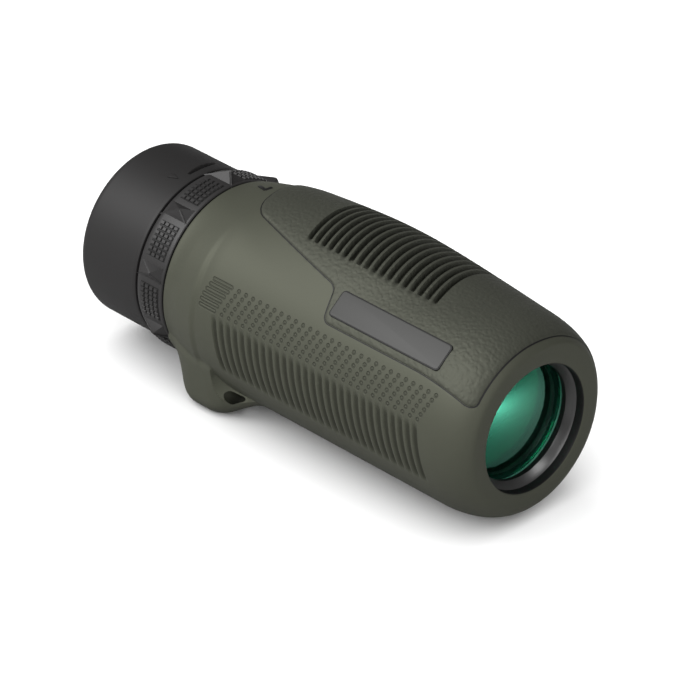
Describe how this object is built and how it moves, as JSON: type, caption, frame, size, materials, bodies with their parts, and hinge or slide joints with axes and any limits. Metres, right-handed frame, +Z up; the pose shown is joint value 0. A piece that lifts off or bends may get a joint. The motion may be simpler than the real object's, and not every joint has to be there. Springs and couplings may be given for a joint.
{
  "type": "monocular",
  "caption": "Compact rubber-armoured roof-prism monocular with a turning focus ring, a twist-up eyecup, a ribbed grip panel and a lanyard lug, lying on its side.",
  "frame": {"origin": "on the optical axis, at the mouth of the objective opening", "axes": "+X along the optical axis towards the scene, +Z up from the table, +Y away from the badge side"},
  "size_m": [0.1126, 0.0447, 0.045],
  "materials": {
    "armour_rubber": "matt moulded grey-green rubber",
    "panel_rubber": "grained grey-green rubber",
    "badge_metal": "satin grey, bare",
    "housing_plastic": "glass-filled black plastic",
    "black_metal": "black anodised, matt",
    "black_plastic": "matt black inside finish",
    "steel": "plain turned",
    "coated_glass": "green anti-reflection coating",
    "clear_glass": "polished",
    "seal_rubber": "black O-ring rubber",
    "grip_rubber": "matt black, knurled",
    "eyecup_rubber": "matt black",
    "slider_plastic": "natural acetal"
  },
  "bodies": {
    "body": {"rubber_armour": "armour_rubber", "top_panel": "panel_rubber", "badge_plate": "badge_metal", "main_housing": "housing_plastic", "objective_cell": "black_metal", "objective_crown_lens": "coated_glass", "objective_flint_lens": "clear_glass", "objective_retaining_ring": "black_metal", "objective_o_ring": "seal_rubber", "light_baffle": "black_plastic", "prism_frame": "black_metal", "roof_prism": "clear_glass", "half_penta_prism": "clear_glass", "prism_screws": "steel", "field_stop": "black_metal", "eyepiece_cell": "black_metal", "eye_lens": "coated_glass", "eyepiece_retaining_ring": "black_metal", "eyepiece_o_ring": "seal_rubber", "focus_circlip": "steel"},
    "focus_ring": {"focus_ring_core": "housing_plastic", "focus_ring_grip": "grip_rubber"},
    "focus_carriage": {"focus_lens_cell": "black_metal", "focus_lens": "clear_glass", "focus_lens_retaining_ring": "black_metal", "focus_pins": "steel"},
    "eyecup_carrier": {"eyecup_friction_ring": "slider_plastic"},
    "eyecup": {"eyecup_rubber": "eyecup_rubber", "eyecup_sleeve": "black_plastic", "eyecup_guide_pins": "steel"}
  },
  "joints": [
    {"name": "focus_turn", "type": "hinge", "parent": "body", "child": "focus_ring", "pos_m": [0, 0, 0], "axis": [-1, 0, 0], "range_deg": [0, 150]},
    {"name": "focus_lens_slide", "type": "slide", "parent": "body", "child": "focus_carriage", "axis": [1, 0, 0], "range_m": [0, 0.00301]},
    {"name": "eyecup_lift", "type": "slide", "parent": "body", "child": "eyecup_carrier", "axis": [-1, 0, 0], "range_m": [0, 0.00701]},
    {"name": "eyecup_twist", "type": "hinge", "parent": "eyecup_carrier", "child": "eyecup", "pos_m": [0, 0, 0], "axis": [-1, 0, 0], "range_deg": [0, 120]}
  ],
  "couplings": [
    {"joint": "focus_lens_slide", "follows": "focus_turn", "m_per_rad": 0.0011459},
    {"joint": "eyecup_lift", "follows": "eyecup_twist", "m_per_rad": 0.0033423}
  ]
}
